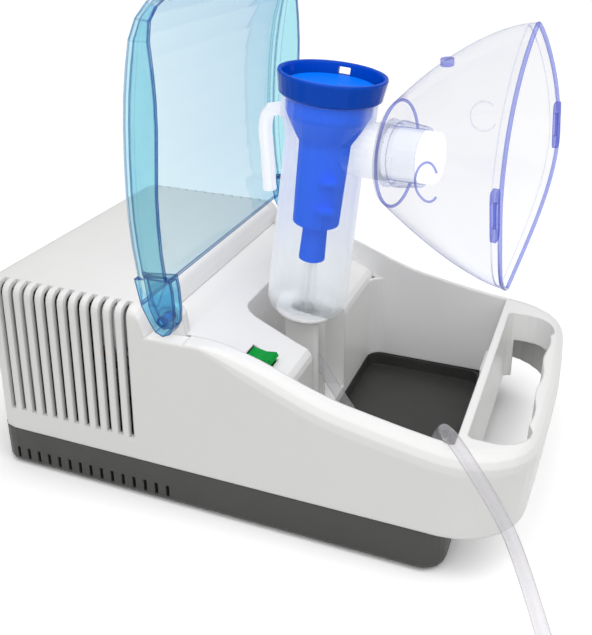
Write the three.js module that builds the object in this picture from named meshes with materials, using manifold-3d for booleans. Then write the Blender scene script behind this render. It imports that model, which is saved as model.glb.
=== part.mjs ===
// Tabletop compressor nebulizer: two-part housing with a storage bay and a carrying handle, a hinged clear lid,
// a piston compressor inside, and a nebulizer cup with its mask and air tube.
// Millimetres, +Z up. -Y is the handle end, +Y the rear. The numbers below are taken from the table plane under the
// middle of the housing's footprint; the finished assembly is then moved so that its origin lies on the table plane
// under the middle of the overall bounding box.
import * as THREE from "three";
import { mergeVertices } from "three/addons/utils/BufferGeometryUtils.js";
import Module from "manifold-3d";

const wasm = await Module();
wasm.setup();

// ---------------------------------------------------------------- driving dimensions
const HALF_W = 91; // half width of the housing at the seam
const REAR_Y = 150;
const FRONT_Y = -141.6; // front of the handle at the seam; it leans forward by FRONT_LEAN
const FRONT_LEAN = 0.115;
const SEAM_Z = 24;
const DECK_Z = 112;
const FLANK_DRAFT = 0.035;
const WALL = 2.6;
const BAY_X = 79; // storage bay half width
const BAY_REAR_Y = -20;
const BAY_FRONT_Y = -95; // at the tray; the divider leans forward
const BAY_FRONT_TOP_Y = -106.5;
const TRAY_RIM_Z = 13.4;
const HANDLE_WALL_Z = 49; // lower edge of the walls round the handle opening
const SLOPE_TOP = [57, 111.2]; // y, z where the deck turns down towards the bay
const SLOPE_END = [-20, 73.6];
const HINGE = [0, 38.5, 107.5]; // lid hinge axis, parallel to X
const LID_X = 88;
const SLOT_PITCH = 6.94;
const SLOT_N = 12;
const CUP_BASE = [-5, -4.6, 78]; // bottom centre of the nebulizer cup
const CUP_TILT = 6.5; // degrees, forward
const CUP_FLOOR = 8; // height of the tank's underside on the cup's axis
const PORT_W = 103.7; // height of the side port's axis on the cup
const PORT_YAW = -8.7,
  PORT_PITCH = 1.1,
  MASK_ROLL = 10.1; // degrees
const MOTOR_Y = 92,
  MOTOR_Z = 50;
const CYL_X = -44;
const THROW = 2.5;

// ---------------------------------------------------------------- helpers
const root = new THREE.Group();
root.name = "tabletop_nebulizer";
const D2R = Math.PI / 180;

function solid(geometry) {
  let g = geometry.index ? geometry.toNonIndexed() : geometry.clone();
  g.deleteAttribute("normal");
  g.deleteAttribute("uv");
  g = mergeVertices(g, 1e-4);
  return new wasm.Manifold(
    new wasm.Mesh({
      numProp: 3,
      vertProperties: new Float32Array(g.attributes.position.array),
      triVerts: new Uint32Array(g.index.array),
    }),
  );
}
function geometryOf(m) {
  const mesh = m.simplify(0.03).getMesh();
  const n = mesh.numProp;
  const v = new Float32Array(mesh.numVert * 3);
  for (let i = 0; i < mesh.numVert; i++)
    v.set(mesh.vertProperties.subarray(i * n, i * n + 3), i * 3);
  const g = new THREE.BufferGeometry();
  g.setAttribute("position", new THREE.BufferAttribute(v, 3));
  g.setIndex(new THREE.BufferAttribute(new Uint32Array(mesh.triVerts), 1));
  g.computeVertexNormals();
  return g;
}
function placed(geometry, matrix) {
  const g = geometry.index ? geometry.toNonIndexed() : geometry.clone();
  g.applyMatrix4(matrix);
  return solid(g);
}
const T = (x, y, z) => new THREE.Matrix4().makeTranslation(x, y, z);
const box = (x0, x1, y0, y1, z0, z1) =>
  placed(
    new THREE.BoxGeometry(x1 - x0, y1 - y0, z1 - z0),
    T((x0 + x1) / 2, (y0 + y1) / 2, (z0 + z1) / 2),
  );
// Basis matrix that sends local +Y to dir, local +X as near as possible to side.
function frameY(origin, dir, side = [1, 0, 0]) {
  const y = new THREE.Vector3(...dir).normalize();
  let x = new THREE.Vector3(...side);
  if (Math.abs(x.dot(y)) > 0.99) x = new THREE.Vector3(0, 0, 1);
  x.addScaledVector(y, -x.dot(y)).normalize();
  const z = new THREE.Vector3().crossVectors(x, y);
  return new THREE.Matrix4()
    .makeBasis(x, y, z)
    .setPosition(new THREE.Vector3(...origin));
}
// Solid of revolution from a closed profile of [radius, height], with its axis from origin along dir.
function lathe(profile, origin, dir, seg = 32, side) {
  const pts = profile.map(([r, h]) => new THREE.Vector2(r, h));
  const g = new THREE.LatheGeometry(pts, seg);
  const s = placed(g, frameY(origin, dir, side));
  if (s.volume() >= 0) return s;
  const back = new THREE.LatheGeometry(pts.reverse(), seg);
  return placed(back, frameY(origin, dir, side));
}
const rod = (r, origin, dir, len, seg = 24) =>
  lathe(
    [
      [0, 0],
      [r, 0],
      [r, len],
      [0, len],
    ],
    origin,
    dir,
    seg,
  );
const ring = (r0, r1, origin, dir, len, seg = 28) =>
  lathe(
    [
      [r0, 0],
      [r1, 0],
      [r1, len],
      [r0, len],
      [r0, 0],
    ],
    origin,
    dir,
    seg,
  );
function shapeOf(points) {
  const s = new THREE.Shape();
  points.forEach(([a, b], i) => (i ? s.lineTo(a, b) : s.moveTo(a, b)));
  s.closePath();
  return s;
}
// Prism of a polygon in plan (x, y), between two heights.
const prismZ = (points, z0, z1) =>
  placed(
    new THREE.ExtrudeGeometry(shapeOf(points), {
      depth: z1 - z0,
      bevelEnabled: false,
    }),
    T(0, 0, z0),
  );
// Prism of a polygon in side view (y, z), between two x.
function prismX(points, x0, x1) {
  const m = new THREE.Matrix4().makeBasis(
    new THREE.Vector3(0, 1, 0),
    new THREE.Vector3(0, 0, 1),
    new THREE.Vector3(1, 0, 0),
  );
  m.setPosition(x0, 0, 0);
  return placed(
    new THREE.ExtrudeGeometry(shapeOf(points), {
      depth: x1 - x0,
      bevelEnabled: false,
    }),
    m,
  );
}
// Closed surface through a stack of rings with the same number of points, capped by fans or by strips.
function stack(rings, strips = false) {
  const n = rings[0].length;
  const v = [];
  rings.forEach((r) => r.forEach((p) => v.push(...p)));
  const idx = [];
  for (let k = 0; k < rings.length - 1; k++)
    for (let i = 0; i < n; i++) {
      const a = k * n + i,
        b = k * n + ((i + 1) % n),
        c = a + n,
        d = b + n;
      idx.push(a, b, d, a, d, c);
    }
  const cap = (base, flip) => {
    const put = (a, b, c) => (flip ? idx.push(a, c, b) : idx.push(a, b, c));
    if (strips) {
      for (let i = 0; i < n / 2 - 1; i++) {
        const a = base + i,
          b = base + i + 1,
          c = base + n - 1 - i,
          d = base + n - 2 - i;
        put(a, b, d);
        put(a, d, c);
      }
    } else {
      const r = rings[base / n];
      const m = [0, 1, 2].map((j) => r.reduce((s, p) => s + p[j], 0) / n);
      v.push(...m);
      const c = v.length / 3 - 1;
      for (let i = 0; i < n; i++) put(base + i, base + ((i + 1) % n), c);
    }
  };
  cap(0, true);
  cap((rings.length - 1) * n, false);
  const g = new THREE.BufferGeometry();
  g.setAttribute(
    "position",
    new THREE.BufferAttribute(new Float32Array(v), 3),
  );
  g.setIndex(idx);
  let s = solid(g);
  if (s.volume() < 0) {
    for (let i = 0; i < idx.length; i += 3)
      [idx[i + 1], idx[i + 2]] = [idx[i + 2], idx[i + 1]];
    g.setIndex(idx);
    s = solid(g);
  }
  return s;
}
function tube(points, r, steps = 60, seg = 12, rIn = 0) {
  const curve = new THREE.CatmullRomCurve3(
    points.map((p) => new THREE.Vector3(...p)),
    false,
    "centripetal",
  );
  const make = (rad) => {
    const c = new THREE.Shape();
    for (let i = 0; i < seg; i++) {
      const a = (i / seg) * 2 * Math.PI;
      const p = [rad * Math.cos(a), rad * Math.sin(a)];
      i ? c.lineTo(...p) : c.moveTo(...p);
    }
    c.closePath();
    return c;
  };
  const shape = make(r);
  if (rIn) {
    const h = new THREE.Path();
    for (let i = 0; i < seg; i++) {
      const a = (-i / seg) * 2 * Math.PI;
      const p = [rIn * Math.cos(a), rIn * Math.sin(a)];
      i ? h.lineTo(...p) : h.moveTo(...p);
    }
    h.closePath();
    shape.holes.push(h);
  }
  return solid(
    new THREE.ExtrudeGeometry(shape, { steps, extrudePath: curve }),
  );
}
const lerp = (a, b, t) => a + (b - a) * t;
function table(pts, x) {
  if (x <= pts[0][0]) return pts[0][1];
  for (let i = 1; i < pts.length; i++)
    if (x <= pts[i][0])
      return lerp(
        pts[i - 1][1],
        pts[i][1],
        (x - pts[i - 1][0]) / (pts[i][0] - pts[i - 1][0]),
      );
  return pts[pts.length - 1][1];
}
function add(name, body, color, roughness, metalness, extra = {}) {
  const g = body.isBufferGeometry ? body : geometryOf(body);
  const mesh = new THREE.Mesh(
    g,
    new THREE.MeshStandardMaterial({ color, roughness, metalness, ...extra }),
  );
  mesh.name = name;
  root.add(mesh);
  return mesh;
}
const WHITE = 0xe6e5e1,
  DARK = 0x454744,
  LIDBLUE = 0x7cc6dd,
  BLUE = 0x0b45c8,
  FROST = 0xeef1f3,
  CLEAR = 0xe4e6f2,
  GREEN = 0x0a9a3c,
  STEEL = 0x9a9c9e,
  COPPER = 0xb4662e,
  ALU = 0xb9bcc0,
  BLACK = 0x202122,
  RUBBER = 0x2b2c2d;

// ---------------------------------------------------------------- housing outline
// Height of the top surface along the housing, and the radius of its shoulder.
const CREST = [
  [-150, 66.6],
  [-110, 67.2],
  [-98, 68.4],
  [-88, 69.8],
  [-77, 72],
  [-66, 74],
  [-54, 76.4],
  [-46, 78.3],
  [-39, 80.7],
  [-32, 83.1],
  [-25, 86],
  [-18, 88.8],
  [-10, 91.7],
  [0, 94.7],
  [6, 96.3],
  [12, 97.4],
  [18, 98],
  [49.5, 98],
  [50.3, 103],
  [51.6, 107.6],
  [53.6, 110.4],
  [56.5, 111.7],
  [60, DECK_Z],
  [REAR_Y, DECK_Z + 1],
];
const SHOULDER = [
  [-150, 8.5],
  [-100, 9.5],
  [-15, 10],
  [0, 7.8],
  [12, 4.5],
  [18, 2.2],
  [49.5, 2.2],
  [56, 5],
  [62, 6.2],
  [150, 6.2],
];
// Half of the plan outline at the seam, from the middle of the front to the rear, as [x, y].
function halfOutline() {
  const p = [];
  for (const x of [4, 34]) p.push([x, FRONT_Y + 2.2 * (x / 56) ** 2]);
  const cx = 56,
    ry = 35;
  const y0 = FRONT_Y + 2.2;
  for (let i = 0; i <= 7; i++) {
    const a = ((i / 7) * Math.PI) / 2;
    p.push([
      cx + (HALF_W - cx) * Math.sin(a),
      y0 + ry - ry * Math.cos(a) + 0.19 * i,
    ]);
  }
  const ys = [
    -97, -82, -68, -54, -46, -39, -32, -25, -18, -10, 0, 7, 13, 18.5, 49.5,
    50.3, 51.6, 53.6, 56.5, 60, 98, 128,
  ];
  for (const y of ys) p.push([HALF_W, y]);
  for (let i = 0; i <= 3; i++) {
    const a = ((i / 3) * Math.PI) / 2;
    p.push([
      HALF_W - 12 + 12 * Math.cos(a),
      REAR_Y - 12 + 12 * Math.sin(a),
    ]);
  }
  return p;
}
const HALF = halfOutline();
const NORMALS = HALF.map((p, i) => {
  const a = i ? HALF[i - 1] : [-HALF[0][0], HALF[0][1]];
  const b =
    i < HALF.length - 1
      ? HALF[i + 1]
      : [-HALF[HALF.length - 1][0], HALF[HALF.length - 1][1]];
  const t = [b[0] - a[0], b[1] - a[1]];
  const l = Math.hypot(...t);
  return [t[1] / l, -t[0] / l];
});
const lean = (y, z) =>
  y < -100 ? -FRONT_LEAN * (z - SEAM_Z) * Math.min(1, (-100 - y) / 30) : 0;
// Point i of the outline, moved in by inset, at height z.
function outlinePoint(i, inset, z) {
  const [x, y] = HALF[i];
  const [nx, ny] = NORMALS[i];
  const ins = inset + FLANK_DRAFT * (z - SEAM_Z) * Math.abs(nx);
  const yy = y - ny * ins;
  return [Math.max(1, x - nx * ins), yy + lean(yy, z), z];
}
// The filled housing form, moved in all round by d, from z0 up.
function form(d, z0, segs = 6) {
  const rings = [];
  const mk = (f) => {
    const right = HALF.map((_, i) => f(i));
    // the order of y must stay increasing so that the cap strips don't fold
    for (let i = 1; i < right.length; i++)
      if (right[i][1] <= right[i - 1][1]) right[i][1] = right[i - 1][1] + 0.02;
    const left = right.map(([x, y, z]) => [-x, y, z]).reverse();
    rings.push([...right, ...left]);
  };
  mk((i) => outlinePoint(i, d, z0));
  if (z0 < SEAM_Z + 1) mk((i) => outlinePoint(i, d, 46));
  for (let k = 0; k <= segs; k++) {
    const a = ((k / segs) * Math.PI) / 2;
    mk((i) => {
      const y = HALF[i][1];
      const R = Math.max(0.8, table(SHOULDER, y) - d);
      const inset = d + R * (1 - Math.cos(a));
      const yIn = y - NORMALS[i][1] * inset;
      const z = table(CREST, yIn) - d - R + R * Math.sin(a);
      return outlinePoint(i, inset, z);
    });
  }
  return stack(rings, true);
}

// ---------------------------------------------------------------- upper housing
const slopeZ = (y) =>
  SLOPE_END[1] +
  ((SLOPE_TOP[1] - SLOPE_END[1]) * (y - SLOPE_END[0])) /
    (SLOPE_TOP[0] - SLOPE_END[0]);
const rr = (x0, x1, y0, y1, r, n = 4) => {
  const p = [];
  [
    [x1 - r, y0 + r, -90],
    [x1 - r, y1 - r, 0],
    [x0 + r, y1 - r, 90],
    [x0 + r, y0 + r, 180],
  ].forEach(([cx, cy, a0]) => {
    for (let i = 0; i <= n; i++) {
      const a = (a0 + (90 * i) / n) * D2R;
      p.push([cx + r * Math.cos(a), cy + r * Math.sin(a)]);
    }
  });
  return p;
};
// The storage bay: everything above the slope and between the walls, grown by g.
function bay(g) {
  const side = prismX(
    [
      [SLOPE_TOP[0] + 1.5, SLOPE_TOP[1] + 0.8 - g],
      [SLOPE_TOP[0], SLOPE_TOP[1] - g],
      [30, slopeZ(30) - g - 0.6],
      [8, slopeZ(8) - g - 1.2],
      [-10, slopeZ(-10) - g - 0.8],
      [BAY_REAR_Y + 3 + g, SLOPE_END[1] + 1.2 - g],
      [BAY_REAR_Y + 0.8 + g, SLOPE_END[1] - 1.6 - g],
      [BAY_REAR_Y + g, SLOPE_END[1] - 5],
      [BAY_REAR_Y + g, -10],
      [BAY_FRONT_Y - g, -10],
      [BAY_FRONT_Y - g, TRAY_RIM_Z],
      [BAY_FRONT_TOP_Y - g, 68],
      [BAY_FRONT_TOP_Y - g - 2, 140],
      [SLOPE_TOP[0] + 1.5, 140],
    ],
    -BAY_X - g,
    BAY_X + g,
  );
  const plan = prismZ(
    rr(-BAY_X - g, BAY_X + g, -130, 80, 9 + g, 5),
    -20,
    160,
  );
  // rounded plan corners at the rear wall come from a second plan below the slope
  const lower = prismZ(
    rr(-BAY_X - g, BAY_X + g, -130, BAY_REAR_Y + g, 9 + g, 5),
    -20,
    SLOPE_END[1] - 4,
  ).add(box(-100, 100, -140, 90, SLOPE_END[1] - 4.5, 160));
  const alcove = prismZ(rr(-33 - g, 22 + g, -40, 20.5 + g, 7 + g, 3), 20 - g, 160);
  const cut = side.intersect(plan).intersect(lower);
  return cut.add(
    alcove.intersect(prismX([[-45, 0], [60, 0], [60, 111.2], [57, 111.2 - g * 0], [SLOPE_END[0], 90], [-45, 90]], -90, 90)),
  );
}
// Handle opening, grown by g, with shallow finger scallops on the bar's side.
function handleHole(g) {
  const p = [];
  const x0 = -71 - g,
    x1 = 63.5 + g,
    yr = -110.6 + g,
    r = 16;
  p.push([x1 - 2, yr], [x0 + 2, yr], [x0, yr - 2]);
  for (let i = 0; i <= 5; i++) {
    const a = (180 + (90 * i) / 5) * D2R;
    p.push([x0 + r + r * Math.cos(a), -122 + r * Math.sin(a) - g]);
  }
  for (let i = 1; i < 20; i++) {
    const x = x0 + r + ((x1 - x0 - 2 * r) * i) / 20;
    p.push([x, -136.2 - g - 0.95 * Math.cos((2 * Math.PI * (x + 2)) / 36)]);
  }
  for (let i = 0; i <= 5; i++) {
    const a = (270 + (90 * i) / 5) * D2R;
    p.push([x1 - r + r * Math.cos(a), -122 + r * Math.sin(a) - g]);
  }
  p.push([x1, yr - 2]);
  // leans forward with the front wall
  const lo = p.map(([x, y]) => [x, y + 1.5 * (y < -125 ? 1 : 0), 0]);
  const hi = p.map(([x, y]) => [x, y - (y < -125 ? 1.4 : 0), 110]);
  const n = p.length;
  return prismStack(lo, hi, n);
}
function prismStack(lo, hi, n) {
  // side walls between two outlines with flat triangulated ends
  const flat = lo.map(([x, y]) => new THREE.Vector2(x, y));
  const tris = THREE.ShapeUtils.triangulateShape(flat, []);
  const v = [];
  lo.forEach((p) => v.push(...p));
  hi.forEach((p) => v.push(...p));
  const idx = [];
  for (let i = 0; i < n; i++) {
    const j = (i + 1) % n;
    idx.push(i, j, n + j, i, n + j, n + i);
  }
  tris.forEach(([a, b, c]) => {
    idx.push(a, c, b);
    idx.push(n + a, n + b, n + c);
  });
  const g = new THREE.BufferGeometry();
  g.setAttribute("position", new THREE.BufferAttribute(new Float32Array(v), 3));
  g.setIndex(idx);
  let s = solid(g);
  if (s.volume() < 0) {
    for (let i = 0; i < idx.length; i += 3)
      [idx[i + 1], idx[i + 2]] = [idx[i + 2], idx[i + 1]];
    g.setIndex(idx);
    s = solid(g);
  }
  return s;
}
const hollow = form(WALL, 5, 2)
  .subtract(bay(WALL))
  .subtract(handleHole(WALL))
  .subtract(box(-100, 100, -111, BAY_FRONT_Y - WALL + 3.2, 0, SEAM_Z - 20));
// hinge pockets beside the slope keep a floor under the crest
let housing = form(0, SEAM_Z, 4)
  .add(
    bay(WALL)
      .intersect(box(-86, 86, -112, 20, 14.2, SEAM_Z + 20)),
  )
  .subtract(hollow);
housing = housing
  .subtract(bay(0))
  .subtract(handleHole(0))
  .subtract(handleHole(WALL + 0.2).intersect(box(-95, 95, -135.5, -114.6, 0, HANDLE_WALL_Z)));
// bosses for the four housing screws, tied to the flanks
const BOSSES = [
  [74, 136],
  [-74, 136],
  [77, -8],
  [-77, -8],
];
for (const [x, y] of BOSSES) {
  const s = Math.sign(x);
  const top = y > 0 ? 110 : 66;
  housing = housing
    .add(rod(4.6, [x, y, 26.4], [0, 0, 1], top - 26.4, 12))
    .add(box(Math.min(x, s * 88.5), Math.max(x, s * 88.5), y - 1, y + 1, 26.4, top - 4))
    .subtract(rod(1.9, [x, y, 20], [0, 0, 1], 26, 10));
}
// air slots in both flanks, carried over the shoulder onto the deck
for (let k = 0; k < SLOT_N; k++) {
  const y = 136.7 - SLOT_PITCH * k;
  for (const s of [-1, 1]) {
    const wide = box(-93, -82.6, y - 1.45, y + 1.45, 36.8, 104);
    const cutter = wide.add(box(-93, -80.6, y - 1.45, y + 1.45, 103.9, 118));
    housing = housing.subtract(
      s < 0 ? cutter : cutter.mirror([1, 0, 0]),
    );
  }
}
// ears that carry the lid pins
for (const s of [-1, 1]) {
  const ear = prismX(
    [
      [30, 90],
      [49, 90],
      [46, 108.5],
      [42.5, 112.2],
      [38.5, 113.4],
      [34.5, 112.2],
      [31.6, 108.5],
    ],
    s < 0 ? -79.1 : 74.6,
    s < 0 ? -74.6 : 79.1,
  );
  housing = housing.add(ear);
  housing = housing.subtract(
    rod(2.5, [s < 0 ? -80 : 71, HINGE[1], HINGE[2]], [1, 0, 0], 9, 20),
  );
}
// shallow landing for the lid arms
for (const s of [-1, 1])
  housing = housing.subtract(
    box(s < 0 ? -89 : 79.1, s < 0 ? -79.1 : 89, 27.5, 48.8, 97.0, 130),
  );
// switch pad: a pocket set into the slope for the rocker, with a raised rear lip
const SW = [-60, -2]; // x, y of the switch
const swZ = slopeZ(SW[1]) - 1;
const swMat = new THREE.Matrix4()
  .makeRotationX(Math.atan2(SLOPE_TOP[1] - SLOPE_END[1], SLOPE_TOP[0] - SLOPE_END[0]))
  .setPosition(SW[0], SW[1], swZ);
const local = (x0, x1, y0, y1, z0, z1) => {
  const g = new THREE.BoxGeometry(x1 - x0, y1 - y0, z1 - z0);
  g.translate((x0 + x1) / 2, (y0 + y1) / 2, (z0 + z1) / 2);
  return placed(g, swMat);
};
housing = housing
  .subtract(local(-5.4, 5.4, -7.4, 7.4, -0.8, 12))
  .subtract(local(-6.2, 6.2, -8.2, 8.2, -14, -1.4))
  .subtract(local(-5.4, 5.4, -7.4, 7.4, -3, 3));
// notch in the near rim for the air tube
housing = housing.subtract(
  lathe([[0, 0], [4.6, 0], [4.6, 60], [0, 60]], [-110, -104, 71.6], [1, 0, 0.0], 20),
);
// air outlet opening in the bay's rear wall
housing = housing.subtract(rod(5.3, [-50, -25, 38], [0, 1, 0], 12, 20));
// rear openings: filter cap and mains inlet
housing = housing
  .subtract(rod(11.4, [52, 140, 74], [0, 1, 0], 16, 24))
  .subtract(box(-62, -38, 140, 155, 34, 50));
// lid catch: a low tab on the divider
housing = housing.add(box(-8, 14, -106.9, -105.2, 60, 66.4));
{
  // keep the one connected body
  const parts = housing.decompose().sort((a, b) => b.volume() - a.volume());
  housing = parts[0];
}
add("upper_housing", housing, WHITE, 0.42, 0);

// ---------------------------------------------------------------- lower base
const BASE_FRONT_Y = -106.4;
function baseForm(d, z0, z1, bottomRound) {
  const pts = (e) =>
    rr(
      -HALF_W + 0.1 + e,
      HALF_W - 0.1 - e,
      BASE_FRONT_Y + e,
      REAR_Y - e,
      Math.max(1.5, 12 - e),
      5,
    );
  const rings = [];
  const steps = bottomRound
    ? [
        [2.2, z0],
        [0.7, z0 + 0.7],
        [0, z0 + 2.4],
      ]
    : [[0, z0]];
  steps.forEach(([e, z]) => rings.push(pts(d + e).map(([x, y]) => [x, y, z])));
  rings.push(pts(d).map(([x, y]) => [x, y, z1]));
  return stack(rings);
}
let base = baseForm(0, 1.2, SEAM_Z - 0.3, true).subtract(
  baseForm(WALL, 3.8, 40, false),
);
// tray rim around the storage bay
base = base.add(
  prismZ(rr(-BAY_X - 2.1, BAY_X + 2.1, BAY_FRONT_Y - 1.2, BAY_REAR_Y + 2.1, 10, 5), 2.5, TRAY_RIM_Z).subtract(
    prismZ(rr(-BAY_X + 0.3, BAY_X - 0.3, BAY_FRONT_Y + 1.2, BAY_REAR_Y - 0.3, 8, 5), 5, 30),
  ),
);
base = base.subtract(box(-HALF_W, HALF_W, -120, BAY_FRONT_Y - 1.5, 23.2, 30));
for (const [x, y] of BOSSES)
  base = base
    .add(rod(4.6, [x, y, 2.5], [0, 0, 1], 23.4, 12))
    .subtract(rod(1.9, [x, y, -2], [0, 0, 1], 40, 10))
    .subtract(rod(3.6, [x, y, -2], [0, 0, 1], 10, 12));
for (let k = 0; k < 15; k++) {
  const y = 137.3 - 6.89 * k;
  for (const s of [-1, 1])
    base = base.subtract(
      box(s < 0 ? -95 : 88.0, s < 0 ? -88.0 : 95, y - 0.95, y + 0.95, 4.2, 11.2),
    );
}
const FEET = [
  [-72, -84],
  [72, -84],
  [-66, 122],
  [66, 122],
];
for (const [x, y] of FEET)
  base = base.subtract(rod(7.4, [x, y, -1], [0, 0, 1], 3.2, 16));
add("lower_base", base, DARK, 0.5, 0);
FEET.forEach(([x, y], i) =>
  add(
    ["foot_front_near", "foot_front_far", "foot_rear_near", "foot_rear_far"][i],
    lathe(
      [
        [0, 0],
        [6, 0],
        [6.8, 0.6],
        [6.8, 1.9],
        [0, 1.9],
      ],
      [x, y, 0],
      [0, 0, 1],
      16,
    ),
    RUBBER,
    0.9,
    0,
  ),
);
BOSSES.forEach(([x, y], i) =>
  add(
    "housing_screw_" + (i + 1),
    rod(3.1, [x, y, 5.2], [0, 0, 1], 2.6, 12)
      .add(rod(1.5, [x, y, 7], [0, 0, 1], 30, 8))
      .subtract(box(x - 2.2, x + 2.2, y - 0.5, y + 0.5, 4, 6.4))
      .subtract(box(x - 0.5, x + 0.5, y - 2.2, y + 2.2, 4, 6.4)),
    STEEL,
    0.35,
    1,
  ),
);

// ---------------------------------------------------------------- lid, shown open
// Side view of the panel's outer face and of the flange's free edge, [y, z], from the hinge to the tip.
const PANEL = [
  [51.2, 115],
  [52.0, 122],
  [53.6, 132],
  [55.0, 144],
  [55.8, 158],
  [55.9, 172],
  [55.3, 188],
  [54.2, 204],
  [52.7, 218],
  [50.6, 231],
  [47.4, 243.5],
  [43.6, 253],
  [39.2, 260],
  [34.6, 265],
];
const FLANGE = [
  [41, 115],
  [38.5, 122],
  [35.0, 130.5],
  [36.2, 144],
  [36.6, 158],
  [36.4, 172],
  [35.2, 188],
  [34.0, 204],
  [33.6, 218],
  [34.0, 231],
  [34.8, 243.5],
  [34.9, 252],
  [33.6, 257.5],
  [31.4, 261.5],
];
const LID_T = 2;
function lidSkin() {
  const N = PANEL.length;
  // Half cross-sections across X at each station: flange edge, round corner, crowned panel.
  const sect = (i, d) => {
    const [yo, zo] = PANEL[i],
      [yf, zf] = FLANGE[i];
    const taper = i > N - 4 ? [2.2, 6.5, 13][i - (N - 3)] : 0;
    const hw = LID_X - d - taper;
    const depth = Math.hypot(yo - yf, zo - zf);
    const R = Math.min(7, depth * 0.45) - d * 0.6;
    const at = (x, dep) => {
      // points run from the panel along the inward direction, ending at the flange edge
      const f = Math.min(1, dep / depth);
      return [x, lerp(yo, yf, f) , lerp(zo, zf, f)];
    };
    const out = [];
    out.push(at(hw, depth));
    out.push(at(hw, lerp(d + R, depth, 0.4)));
    for (let k = 0; k <= 3; k++) {
      const a = ((k / 3) * Math.PI) / 2;
      out.push(at(hw - R * (1 - Math.cos(a)), d + R * (1 - Math.sin(a)) ));
    }
    out.push(at(hw * 0.4, d));
    return out;
  };
  const rings = [];
  for (let i = 0; i < N; i++) {
    const o = sect(i, 0),
      q = sect(i, LID_T);
    q[0] = [q[0][0], o[0][1], o[0][2]];
    const outer = [...o, ...o.map(([x, y, z]) => [-x, y, z]).reverse()];
    const inner = [...q, ...q.map(([x, y, z]) => [-x, y, z]).reverse()].reverse();
    rings.push([...outer, ...inner]);
  }
  return rings;
}
function openStack(rings) {
  // rings are C-shaped closed bands: outer run then inner run; ends closed by quads between the runs
  const n = rings[0].length,
    h = n / 2;
  const v = rings.flat(2);
  const idx = [];
  for (let k = 0; k < rings.length - 1; k++)
    for (let i = 0; i < n; i++) {
      const a = k * n + i,
        b = k * n + ((i + 1) % n);
      idx.push(a, b, b + n, a, b + n, a + n);
    }
  const end = (base, flip) => {
    for (let i = 0; i < h - 1; i++) {
      const a = base + i,
        b = base + i + 1,
        c = base + n - 1 - i,
        d = base + n - 2 - i;
      flip ? idx.push(a, c, d, a, d, b) : idx.push(a, d, c, a, b, d);
    }
  };
  end(0, true);
  end((rings.length - 1) * n, false);
  const g = new THREE.BufferGeometry();
  g.setAttribute("position", new THREE.BufferAttribute(new Float32Array(v), 3));
  g.setIndex(idx);
  let s = solid(g);
  if (s.volume() < 0) {
    for (let i = 0; i < idx.length; i += 3)
      [idx[i + 1], idx[i + 2]] = [idx[i + 2], idx[i + 1]];
    g.setIndex(idx);
    s = solid(g);
  }
  return s;
}
let lid = openStack(lidSkin());
// front lip across the tip
lid = lid.add(
  prismX(
    [
      [39.0, 259.2],
      [35.4, 265.4],
      [27.0, 261.6],
      [27.8, 259.6],
      [34.4, 262.2],
      [37.2, 258.2],
    ],
    -62,
    62,
  ),
);
// hinge arms: open-fronted boxes with the pin bore through both cheeks
for (const s of [-1, 1]) {
  const X = (a, b) => (s < 0 ? [-b, -a] : [a, b]);
  const [a0, a1] = X(79.6, 88);
  const arm = [
    [32.6, 131],
    [31.6, 124],
    [31.2, 112],
    [31.9, 106],
    [34.4, 101.4],
    [38.5, 99.6],
    [42.6, 101.4],
    [45.4, 106],
    [49.4, 114.5],
    [52.2, 129],
  ];
  let lug = prismX(arm, a0, a1);
  const [b0, b1] = X(81.4, 86.2);
  lug = lug.subtract(
    prismX(
      [
        [28, 129.2],
        [28, 106.5],
        [33.6, 104.6],
        [39, 102.6],
        [43, 105.4],
        [46.4, 114],
        [49.2, 129.2],
      ],
      b0,
      b1,
    ),
  );
  const [c0] = X(77, 89);
  lid = lid
    .add(lug)
    .add(ring(2.4, 5.2, [X(79.6, 81.6)[0], HINGE[1], HINGE[2]], [1, 0, 0], 2, 24))
    .subtract(rod(2.3, [c0, HINGE[1], HINGE[2]], [1, 0, 0], 12, 24));
}
add("lid", lid, LIDBLUE, 0.12, 0, { transparent: true, opacity: 0.45 });
for (const [n, s] of [
  ["lid_pin_near", -1],
  ["lid_pin_far", 1],
])
  add(
    n,
    lathe(
      [
        [0, 0],
        [2.2, 0],
        [2.2, 15.2],
        [0, 15.2],
      ],
      [s * 70.4, HINGE[1], HINGE[2]],
      [s, 0, 0],
      24,
    ),
    0x1c5fae,
    0.3,
    0,
  );

// ---------------------------------------------------------------- power switch
{
  const g = (x0, x1, y0, y1, z0, z1) => local(x0, x1, y0, y1, z0, z1);
  add(
    "switch_body",
    g(-5.9, 5.9, -7.9, 7.9, -11.6, -2)
      .subtract(g(-4.9, 4.9, -6.9, 6.9, -6.6, 0))
      .add(g(-3.5, -2.5, -4, -2, -16, -11.5))
      .add(g(2.5, 3.5, -4, -2, -16, -11.5)),
    BLACK,
    0.5,
    0,
  );
  // rocker: a faceted, lit green paddle, proud at its rear end
  const prof = [
    [-6.1, -4.6],
    [6.1, -4.6],
    [6.6, -0.6],
    [-0.4, 1.4],
    [-5.0, 4.4],
    [-6.9, 3.4],
  ];
  const sh = new THREE.ExtrudeGeometry(shapeOf(prof), {
    depth: 9.2,
    bevelEnabled: false,
  });
  sh.applyMatrix4(
    new THREE.Matrix4()
      .makeBasis(
        new THREE.Vector3(0, 1, 0),
        new THREE.Vector3(0, 0, 1),
        new THREE.Vector3(1, 0, 0),
      )
      .setPosition(-4.6, 0, 0),
  );
  add("switch_rocker", placed(sh, swMat), GREEN, 0.2, 0);
}

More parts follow.
